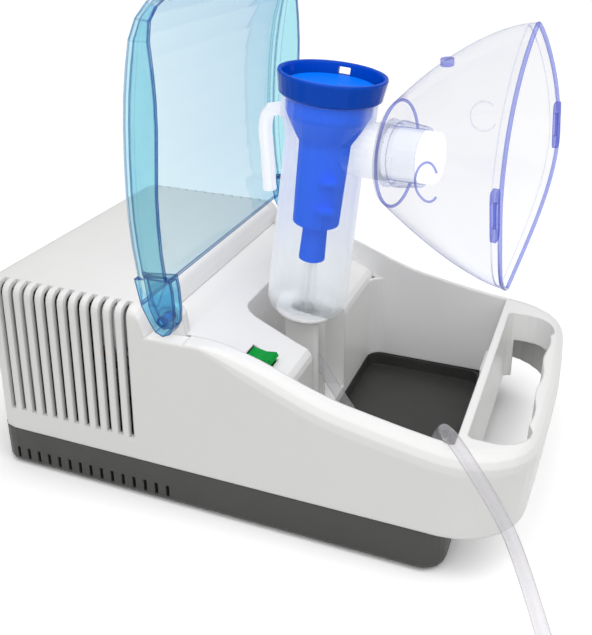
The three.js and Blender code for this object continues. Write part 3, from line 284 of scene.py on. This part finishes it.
def frosted(name, col, blur=0.5, near=0.015, far=0.72, edge=0.42, painted_white_glow=0.25, stub=0.5):
    """Frosted moulded plastic: the near wall is seen through softly, the far wall and the edges scatter white, and the
    scattering part also carries a painted white glow.
    """
    m, t, n, l = nodes_of(name)
    out = n.new("ShaderNodeOutputMaterial")
    co = n.new("ShaderNodeTexCoord").outputs["Object"]
    lw = n.new("ShaderNodeLayerWeight")
    lw.inputs["Blend"].default_value = 0.5
    sq = n.new("ShaderNodeMath")
    sq.operation = "POWER"
    sq.inputs[1].default_value = 2.6
    l.new(lw.outputs["Facing"], sq.inputs[0])
    rf = n.new("ShaderNodeBsdfRefraction")
    rf.inputs["IOR"].default_value = 1.0
    rf.inputs["Color"].default_value = (*col, 1)
    l.new(rng(t, noise(t, co, 50.0), blur * 0.85, blur * 1.15), rf.inputs["Roughness"])
    tr = n.new("ShaderNodeBsdfTransparent")
    tr.inputs["Color"].default_value = (*col, 1)
    lp = n.new("ShaderNodeLightPath")
    through = n.new("ShaderNodeMixShader")
    l.new(lp.outputs["Is Camera Ray"], through.inputs[0])
    l.new(tr.outputs[0], through.inputs[1])
    l.new(rf.outputs[0], through.inputs[2])
    dif = n.new("ShaderNodeBsdfDiffuse")
    tl = n.new("ShaderNodeBsdfTranslucent")
    c = mixc(t, rng(t, noise(t, co, 25.0), 0.0, 0.2), col, (1.0, 1.0, 1.0))
    l.new(c, dif.inputs["Color"])
    l.new(c, tl.inputs["Color"])
    h = n.new("ShaderNodeMixShader")
    h.inputs[0].default_value = 0.55
    l.new(dif.outputs[0], h.inputs[1])
    l.new(tl.outputs[0], h.inputs[2])
    hz = n.new("ShaderNodeMath")
    hz.operation = "MULTIPLY_ADD"
    hz.inputs[1].default_value = edge
    l.new(sq.outputs[0], hz.inputs[0])
    # which side of the cup's axis the point lies on, seen from the viewer
    off = n.new("ShaderNodeVectorMath")
    off.operation = "SUBTRACT"
    l.new(co, off.inputs[0])
    off.inputs[1].default_value = tuple(P(CUP))
    geo = n.new("ShaderNodeNewGeometry")
    perp = n.new("ShaderNodeVectorMath")
    perp.operation = "PROJECT"
    l.new(off.outputs[0], perp.inputs[0])
    perp.inputs[1].default_value = tuple(AX)
    rad = n.new("ShaderNodeVectorMath")
    rad.operation = "SUBTRACT"
    l.new(off.outputs[0], rad.inputs[0])
    l.new(perp.outputs[0], rad.inputs[1])
    dv = n.new("ShaderNodeVectorMath")
    dv.operation = "DOT_PRODUCT"
    l.new(rad.outputs[0], dv.inputs[0])
    l.new(geo.outputs["Incoming"], dv.inputs[1])
    side = rng(t, dv.outputs["Value"], far, near, -0.006, 0.004)
    # the port and the hook, which stand clear of the barrel, are plain milky white
    dp = n.new("ShaderNodeVectorMath")
    dp.operation = "DOT_PRODUCT"
    l.new(rad.outputs[0], dp.inputs[0])
    dp.inputs[1].default_value = tuple(PORT)
    ab = n.new("ShaderNodeMath")
    ab.operation = "ABSOLUTE"
    l.new(dp.outputs["Value"], ab.inputs[0])
    stubs = rng(t, ab.outputs[0], 0.0, stub, 0.0225, 0.027)
    mxs = n.new("ShaderNodeMath")
    mxs.operation = "MAXIMUM"
    l.new(side, mxs.inputs[0])
    l.new(stubs, mxs.inputs[1])
    l.new(mxs.outputs[0], hz.inputs[2])
    m1 = n.new("ShaderNodeMixShader")
    # painted white glow added to the scattering part, so the frosted walls read brighter than the lamps make them
    em = n.new("ShaderNodeEmission")
    em.inputs["Strength"].default_value = painted_white_glow
    ad = n.new("ShaderNodeAddShader")
    l.new(h.outputs[0], ad.inputs[0])
    l.new(em.outputs[0], ad.inputs[1])
    l.new(hz.outputs[0], m1.inputs[0])
    l.new(through.outputs[0], m1.inputs[1])
    l.new(ad.outputs[0], m1.inputs[2])
    gl = n.new("ShaderNodeBsdfGlossy")
    gl.inputs["Roughness"].default_value = 0.3
    bump = n.new("ShaderNodeBump")
    bump.inputs["Strength"].default_value = 0.2
    bump.inputs["Distance"].default_value = 0.0002
    l.new(noise(t, co, 900.0, 3), bump.inputs["Height"])
    l.new(bump.outputs[0], gl.inputs["Normal"])
    m2 = n.new("ShaderNodeMixShader")
    l.new(sheen(t, None, 0.6, lw.outputs["Facing"]), m2.inputs[0])
    l.new(m1.outputs[0], m2.inputs[1])
    l.new(gl.outputs[0], m2.inputs[2])
    l.new(bypass(t, m2.outputs[0], (0.97, 0.97, 0.97)), out.inputs[0])
    return m


WHITE = plastic("white_abs", (0.86, 0.857, 0.845), 0.36, grain=0.10, grain_scale=1400.0, vary=0.012, wear=0.12, coat=0.12, bevel=0.0014)
HOLDER = plastic("holder_white", (0.88, 0.88, 0.865), 0.34, grain=0.06, vary=0.012, wear=0.1, bevel=0.001)
DARK = plastic("dark_abs", (0.044, 0.044, 0.041), 0.42, grain=0.35, grain_scale=1500.0, vary=0.08, wear=0.3, bevel=0.001)
# near-black painted shade for the inside faces of the closed white housing
INSIDE_PAINTED_SHADE = plastic("housing_inside_painted_shade", (0.035, 0.036, 0.036), 0.6, grain=0.2, vary=0.1, wear=0.0)
RUBBER = plastic("rubber", (0.02, 0.02, 0.02), 0.8, grain=0.4, grain_scale=600.0, vary=0.1, wear=0.2)
STEEL = plastic("steel", (0.55, 0.56, 0.57), 0.28, 1.0, grain=0.15, grain_scale=400.0, vary=0.05, wear=0.3)
ALU = plastic("cast_alu", (0.62, 0.63, 0.65), 0.42, 1.0, grain=0.3, grain_scale=500.0, vary=0.05, wear=0.3)
CORE = plastic("core_laminate", (0.26, 0.27, 0.28), 0.5, 0.9, grain=0.4, grain_scale=1200.0, vary=0.1, wear=0.3)
COPPER = plastic("copper_winding", (0.72, 0.32, 0.14), 0.35, 0.9, grain=0.7, grain_scale=800.0, vary=0.12, wear=0.2)
BLACK = plastic("black_plastic", (0.02, 0.02, 0.022), 0.45, grain=0.25, vary=0.08, wear=0.25)
FAN = plastic("fan_plastic", (0.05, 0.13, 0.30), 0.45, vary=0.05, wear=0.2)
FELT = plastic("filter_felt", (0.86, 0.85, 0.78), 0.95, grain=1.0, grain_scale=700.0, vary=0.06, wear=0.0)
# the switch rocker, cap, chimney and valve disc below carry a painted glow in their own hue, which brightens and
# saturates them beyond what the lamps give
GREEN = plastic("switch_green", (0.0, 0.26, 0.035), 0.16, grain=0.03, vary=0.05, wear=0.15, coat=0.0, painted_glow=0.06,
                painted_glow_col=(0.0, 0.6, 0.1), spec=0.12)
BLUE = plastic("cap_blue", (0.0, 0.050, 0.40), 0.16, grain=0.03, vary=0.05, wear=0.10, coat=0.0, painted_glow=0.04,
               painted_glow_col=(0.0, 0.10, 0.7), spec=0.10)
CHIMNEY = plastic("chimney_blue", (0.0, 0.11, 0.85), 0.35, grain=0.03, vary=0.05, wear=0.1, painted_glow=0.20, painted_glow_col=(0.0, 0.15, 0.9),
                  spec=0.0)
DISC = plastic("disc_blue", (0.0, 0.13, 0.72), 0.35, grain=0.1, vary=0.05, wear=0.1, painted_glow=0.08, painted_glow_col=(0.0, 0.2, 0.9),
               spec=0.06)
PIN = plastic("pin_blue", (0.02, 0.14, 0.50), 0.2, grain=0.03, vary=0.05, wear=0.1, coat=0.4)
LID = clear("lid_clear_blue", (0.90, 0.975, 0.982), (0.01, 0.34, 0.68), haze=0.04, haze_col=(0.60, 0.90, 0.97), power=0.5,
            line=0.0014, line_col=(0.0, 0.09, 0.36))
LID_SIDE = clear("lid_side_blue", (0.66, 0.89, 0.932), (0.01, 0.32, 0.66), haze=0.05, haze_col=(0.45, 0.84, 0.95), power=0.5,
                 line=0.0017, line_col=(0.0, 0.07, 0.36))
LID_ARM = clear("lid_arm_blue", (0.55, 0.85, 0.94), (0.0, 0.22, 0.62), haze=0.12, haze_col=(0.06, 0.45, 0.92), power=0.5,
                line=0.0014, line_col=(0.0, 0.06, 0.30))
MASK = clear("mask_clear", (0.935, 0.938, 0.956), (0.50, 0.53, 0.80), haze=0.02, haze_col=(0.86, 0.88, 0.94), power=0.4, falloff=4.5)
RIM = clear("mask_rim", (0.62, 0.65, 0.92), (0.16, 0.20, 0.72), haze=0.10, haze_col=(0.5, 0.54, 0.92), power=0.5)
CUFF = clear("mask_cuff", (0.955, 0.962, 0.99), (0.42, 0.50, 0.88), haze=0.06, haze_col=(0.82, 0.86, 0.97), power=0.5, falloff=3.0)
TUBE = clear("tube_pvc", (0.93, 0.92, 0.94), (0.50, 0.48, 0.54), haze=0.20, haze_col=(0.86, 0.85, 0.86), power=0.5)
FROST = frosted("tank_frosted", (0.95, 0.965, 0.975))
FROST2 = frosted("adapter_frosted", (0.95, 0.965, 0.975), 0.3, 0.42, 0.5, 0.4, 0.5, 0.5)

LOOK = {
    "upper_housing": WHITE, "lower_base": DARK, "lid": LID, "lid_pin_near": PIN, "lid_pin_far": PIN,
    "switch_body": BLACK, "switch_rocker": GREEN, "air_outlet": HOLDER, "inner_air_hose": TUBE, "stator_core": CORE,
    "stator_coil_front": COPPER, "stator_coil_rear": COPPER, "rotor_core": CORE, "rotor_shaft": STEEL,
    "cooling_fan": FAN, "bearing_bracket_front": ALU, "bearing_bracket_rear": ALU, "crank": STEEL,
    "piston_rod": ALU, "piston_seal": RUBBER, "cylinder": ALU, "cylinder_head": ALU, "motor_cradle": STEEL,
    "filter_cap": WHITE, "air_filter": FELT, "mains_inlet": BLACK, "cup_holder": HOLDER, "neb_tank": FROST,
    "tube_cuff_cup": TUBE, "neb_cap": BLUE, "cap_valve_disc": DISC, "neb_chimney": CHIMNEY, "neb_jet_cap": CHIMNEY,
    "mask_adapter": FROST2, "mask_shell": MASK, "mask_inlet_cuff": CUFF, "air_tube": TUBE, "tube_cuff_free": TUBE,
}
SMOOTH_DEG = {"upper_housing": 30, "lid": 32, "mask_shell": 40, "neb_tank": 32}
for name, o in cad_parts.items():
    m = LOOK.get(name)
    if m is None:
        m = RUBBER if name.startswith(("foot", "motor_mount")) else STEEL
    o.data.materials.clear()
    o.data.materials.append(m)
    o.data.polygons.foreach_set("use_smooth", [True] * len(o.data.polygons))
    o.data.set_sharp_from_angle(angle=math.radians(SMOOTH_DEG.get(name, 35)))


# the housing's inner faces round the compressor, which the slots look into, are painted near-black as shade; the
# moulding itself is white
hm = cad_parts["upper_housing"].data
hm.materials.append(INSIDE_PAINTED_SHADE)
for poly in hm.polygons:
    c, nn = (Vector(poly.center) - S) * 1000, poly.normal
    if c.y > 52 and ((abs(c.x) > 80 and nn.x * c.x < 0 and abs(nn.x) > 0.5) or (c.z > 100 and nn.z < -0.5)
                     or (c.y > 143 and nn.y < -0.5)):
        poly.material_index = 1

# the lid's side flanges and hinge arms are thicker and look deeper
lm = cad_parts["lid"].data
lm.materials.append(LID_SIDE)
lm.materials.append(LID_ARM)
for poly in lm.polygons:
    c = (Vector(poly.center) - S) * 1000
    if c.z < 124 and abs(c.x) > 76:
        poly.material_index = 2
    elif abs(c.x) > 80:
        poly.material_index = 1

# ------------------------------------------------------------------ mesh helpers
def make(name, verts, faces, mat, body, smooth=True, angle=None):
    me = bpy.data.meshes.new(name)
    me.from_pydata([tuple(P(v)) for v in verts], [], faces)
    me.validate()
    me.update()
    if smooth:
        me.polygons.foreach_set("use_smooth", [True] * len(me.polygons))
        if angle:
            me.set_sharp_from_angle(angle=math.radians(angle))
    me.materials.append(mat)
    o = bpy.data.objects.new(name, me)
    scene.collection.objects.link(o)
    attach(o, body)
    return o


def sweep(name, pts, r, mat, body, res=8, cyclic=False, radii=None):
    cu = bpy.data.curves.new(name, "CURVE")
    cu.dimensions = "3D"
    sp = cu.splines.new("NURBS")
    sp.points.add(len(pts) - 1)
    for i, p in enumerate(pts):
        sp.points[i].co = (*P(p), 1)
        if radii:
            sp.points[i].radius = radii[i]
    sp.use_cyclic_u = cyclic
    sp.use_endpoint_u = not cyclic
    sp.order_u = 3
    sp.resolution_u = 6
    cu.bevel_depth = r / 1000
    cu.bevel_resolution = res
    cu.use_fill_caps = not cyclic
    cu.materials.append(mat)
    o = bpy.data.objects.new(name, cu)
    scene.collection.objects.link(o)
    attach(o, body)
    return o


def on_mask(a, l, u):
    return MO + PORT * a + ML * l + MU * u


def mask_point(k, t, off=0.0):
    c, s = math.cos(t), math.sin(t)
    up = c > 0
    rim_u = 69.3 * c ** 1.1 if up else -67.8 * (-c)
    rim_l = 47 * math.copysign(abs(s) ** (2.0 if up else 2.3), s) + (8 if up else 11) * s * c * c
    rim_a = 63 + 6 * max(0, c) ** 2 - 5.6 * max(0, -c) ** 2 + 5 * abs(s) ** 3
    a = rim_a * k
    g = 1 - max(0, 1 - k) ** 1.6
    U = 26.4 * c + (rim_u - 26.4 * c) * g
    L = 26.4 * s + (rim_l - 26.4 * s) * g
    m = math.hypot(U, L) or 1
    return on_mask(a, L * (1 - off / m), U * (1 - off / m))


NT = 96
KS = [i / 22 for i in range(23)]
verts, faces = [], []
for r, a in ((15.6, -0.9), (20.0, -1.1), (24.6, -1.0), (25.9, -0.5)):
    for i in range(NT):
        t = i / NT * 2 * math.pi
        verts.append(on_mask(a, r * math.sin(t), r * math.cos(t)))
for k in KS:
    for i in range(NT):
        verts.append(mask_point(k, i / NT * 2 * math.pi))
for j in range(len(KS) + 3):
    for i in range(NT):
        a, b = j * NT + i, j * NT + (i + 1) % NT
        faces.append((a, b, b + NT, a + NT))
shell = make("mask_shell_skin", verts, faces, MASK, "mask")
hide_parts("mask_shell")

# rolled rim, and the bead round the back disc
sweep("mask_rim", [mask_point(1.0, i / 72 * 2 * math.pi, 0.6) for i in range(72)], 1.0, RIM, "mask", 4, True)
sweep("mask_rim_inner", [mask_point(0.94, i / 72 * 2 * math.pi, 0.9) for i in range(72)], 0.35, CUFF, "mask", 3, True)
sweep("mask_collar_bead", [mask_point(0.02, i / 48 * 2 * math.pi, 0.9) for i in range(48)], 0.8, RIM, "mask", 4, True)


def lug(name, l, a, u, w, h, d, sw, sh):
    """A strap lug: a rounded plate w x h x d with a slot sw x sh through it."""
    n = 32
    v, f = [], []

    def loop(hw, hh, r, z):
        for i in range(n):
            q = (i + 0.5) / n * 2 * math.pi
            c, s_ = math.cos(q), math.sin(q)
            x = math.copysign(abs(c) ** 0.35, c) * hw
            y = math.copysign(abs(s_) ** 0.35, s_) * hh
            v.append(on_mask(a + z, l + x, u + y))

    loop(w / 2, h / 2, 2, d / 2)
    loop(sw / 2, sh / 2, 1.2, d / 2)
    loop(sw / 2, sh / 2, 1.2, -d / 2)
    loop(w / 2, h / 2, 2, -d / 2)
    for k in range(4):
        for i in range(n):
            j = (i + 1) % n
            p, q = k * n, ((k + 1) % 4) * n
            f.append((p + i, q + i, q + j, p + j))
    return make(name, v, f, RIM, "mask", angle=40)


lug("mask_lug_near", -48.6, 66.4, 2.1, 6.4, 24, 2.4, 3.0, 12)
lug("mask_lug_far", 48.6, 66.4, 2.1, 6.4, 24, 2.4, 3.0, 12)


def vent(name, k0, t0, r, a0, a1, thick, mat):
    """A raised ring of the exhale vent, lying on the mask's skin."""
    e = 1e-3
    dk = (mask_point(k0 + e, t0) - mask_point(k0 - e, t0)).length / (2 * e)
    dt = (mask_point(k0, t0 + e) - mask_point(k0, t0 - e)).length / (2 * e)
    pts = []
    for i in range(40):
        q = math.radians(a0 + (a1 - a0) * i / 39)
        pts.append(mask_point(k0 + 0.72 * r * math.cos(q) / dk, t0 + r * math.sin(q) / dt, 0.2))
    return sweep(name, pts, thick, mat, "mask", 4)


vent("mask_vent_near", 0.475, math.radians(-81), 9.2, 35, 325, 0.55, RIM)
vent("mask_vent_far", 0.475, math.radians(81), 9.2, 35, 325, 0.4, CUFF)

# the small moulded boss on top of the dome
b0, b1 = mask_point(0.40, 0.12, 3.0), mask_point(0.40, 0.12, -0.2)
sweep("mask_boss", [b0, b0.lerp(b1, 0.4), b0.lerp(b1, 0.8), b1], 3.2, RIM, "mask", 4)

# ------------------------------------------------------------------ air tube: a smooth run in place of the faceted one
def on_cup(w, x=0.0, y=0.0):
    return Vector((CUP.x + x, CUP.y + AX.y * w + y * math.cos(tilt), CUP.z + AX.z * w + y * math.sin(tilt)))


s0 = on_cup(-5.2)
TUBE_PTS = [
    tuple(s0), (s0.x, s0.y - 0.2, s0.z - 9), (s0.x, -8.2, 57), (s0.x - 0.6, -14.6, 49.2), (s0.x - 2.4, -23.2, 38.2),
    (-9.5, -31.6, 28.6), (-16, -42.5, 21.5), (-27, -56, 18.6), (-42, -76, 24), (-58, -91, 46), (-70, -98.5, 66), (-79.5, -102.4, 73.4), (-87.0, -110.2, 71.2), (-95.4, -123.0, 60.6),
    (-104, -134.4, 50.5), (-116, -142.6, 44), (-130, -150.2, 38), (-142.5, -157, 31.5), (-153, -164, 22), (-160, -172, 11),
    (-161.5, -184, 5.4), (-156.6, -200, 3.7), (-142, -216, 3.6), (-118, -226, 3.6), (-92, -229, 5.0), (-80, -229, 5.3),
    (-70, -229, 5.3),
]


def catmull(pts, per=8):
    pts = [Vector(p) for p in pts]
    out = []
    for i in range(len(pts) - 1):
        p0 = pts[max(0, i - 1)]
        p1, p2 = pts[i], pts[i + 1]
        p3 = pts[min(len(pts) - 1, i + 2)]
        for j in range(per):
            t = j / per
            out.append(0.5 * ((2 * p1) + (p2 - p0) * t + (2 * p0 - 5 * p1 + 4 * p2 - p3) * t * t
                              + (3 * p1 - p0 - 3 * p2 + p3) * t ** 3))
    out.append(pts[-1])
    return out


run = catmull(TUBE_PTS, 5)
tube = sweep("air_tube_run", run, 3.25, TUBE, "housing", 6)
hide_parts("air_tube")

# ------------------------------------------------------------------ stage, light, camera
bpy.ops.mesh.primitive_plane_add(size=30, location=(0.6, 0.3, -0.0004))
floor = bpy.context.object
floor.name = "floor"
fm, ft, fn, fl = nodes_of("floor_white")
fo = fn.new("ShaderNodeOutputMaterial")
fb = fn.new("ShaderNodeBsdfDiffuse")
fb.inputs["Color"].default_value = (1.31, 1.31, 1.31, 1)
fd = fn.new("ShaderNodeBsdfDiffuse")
fd.inputs["Color"].default_value = (0.66, 0.66, 0.66, 1)
flp = fn.new("ShaderNodeLightPath")
fx = fn.new("ShaderNodeMixShader")
fl.new(flp.outputs["Is Diffuse Ray"], fx.inputs[0])
fl.new(fb.outputs[0], fx.inputs[1])
fl.new(fd.outputs[0], fx.inputs[2])
fl.new(fx.outputs[0], fo.inputs[0])
floor.data.materials.append(fm)

w = bpy.data.worlds.new("studio")
scene.world = w
w.use_nodes = True
wt = w.node_tree
bg = wt.nodes["Background"]
lp = wt.nodes.new("ShaderNodeLightPath")
seen = wt.nodes.new("ShaderNodeMapRange")
seen.inputs["To Min"].default_value = 0.40
seen.inputs["To Max"].default_value = 1.0
either = wt.nodes.new("ShaderNodeMath")
either.operation = "MAXIMUM"
wt.links.new(lp.outputs["Is Camera Ray"], either.inputs[0])
wt.links.new(lp.outputs["Is Transmission Ray"], either.inputs[1])
wt.links.new(either.outputs[0], seen.inputs["Value"])
wt.links.new(seen.outputs["Result"], bg.inputs["Strength"])
bg.inputs[0].default_value = (1, 1, 1, 1)
scene.view_settings.view_transform = "Standard"


def sun(name, travel, energy, spread):
    d = bpy.data.lights.new(name, "SUN")
    d.energy = energy
    d.angle = math.radians(spread)
    o = bpy.data.objects.new(name, d)
    scene.collection.objects.link(o)
    o.rotation_euler = Vector(travel).to_track_quat("-Z", "Y").to_euler()
    return o


sun("soft_top", (-0.12, 0.30, -1.0), 0.60, 60)
sun("soft_fill", (0.80, 0.25, -0.95), 0.90, 80)
bay = bpy.data.lights.new("bay_fill", "AREA")
bay.shape = "RECTANGLE"
bay.size, bay.size_y = 0.28, 0.24
bay.energy = 0.26
bo = bpy.data.objects.new("bay_fill", bay)
scene.collection.objects.link(bo)
bo.location = P((-60, -60, 310))
bo.rotation_euler = Vector((0.62, 0.0, -1.0)).to_track_quat("-Z", "Y").to_euler()
bo.visible_camera = False
bo.visible_glossy = False
bo.visible_transmission = False

cam = bpy.data.cameras.new("photo_angle")
co = bpy.data.objects.new("photo_angle", cam)
scene.collection.objects.link(co)
cam.sensor_width = 36
cam.lens = 47.18
cam.shift_x = -0.0008
cam.shift_y = -0.1425
cam.clip_start = 0.01
right, up, back = Vector((0.3671, -0.9301, -0.0086)), Vector((0.3438, 0.1271, 0.9304)), Vector((-0.8643, -0.3446, 0.3664))
M = Matrix((right, up, back)).transposed().to_4x4()
M.translation = P((-400, -157.5, 300))
co.matrix_world = M
scene.camera = co
